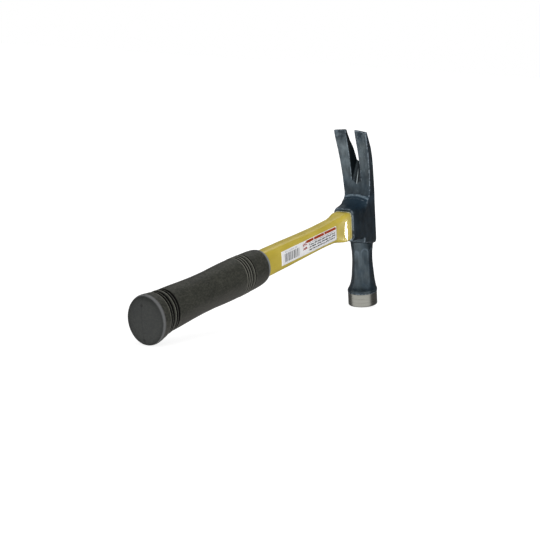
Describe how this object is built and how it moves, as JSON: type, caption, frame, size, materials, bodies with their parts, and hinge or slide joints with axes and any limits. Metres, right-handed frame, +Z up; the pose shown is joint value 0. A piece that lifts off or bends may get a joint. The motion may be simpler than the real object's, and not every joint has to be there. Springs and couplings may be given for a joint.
{
  "type": "claw hammer",
  "caption": "Straight-claw hammer with an octagonal neck, painted forged head, moulded fibreglass handle and closed rubber grip, lying on its face rim and butt.",
  "frame": {"origin": "middle of the footprint of the tool as it lies, on the surface that it rests on", "axes": "+X from the butt towards the head, +Z up with the claw uppermost, +Y across the tool; the tool rests on the rim of its face and the underside of its butt"},
  "size_m": [0.3932, 0.0384, 0.176],
  "materials": {
    "head_paint": "satin dark blue paint on a forging, ground bare at the face and the band round it",
    "rod_resin": "pultruded glass fibre",
    "jacket_plastic": "satin moulded yellow",
    "eye_resin": "cast epoxy",
    "bead_resin": "clear resin bead",
    "grip_rubber": "matte moulded rubber with a fine pebble",
    "label_film": "printed film"
  },
  "bodies": {
    "root": {"head": "head_paint", "handle_core": "rod_resin", "handle_jacket": "jacket_plastic", "epoxy_fill": "eye_resin", "seal_bead": "bead_resin", "grip": "grip_rubber", "label": "label_film"}
  },
  "joints": []
}
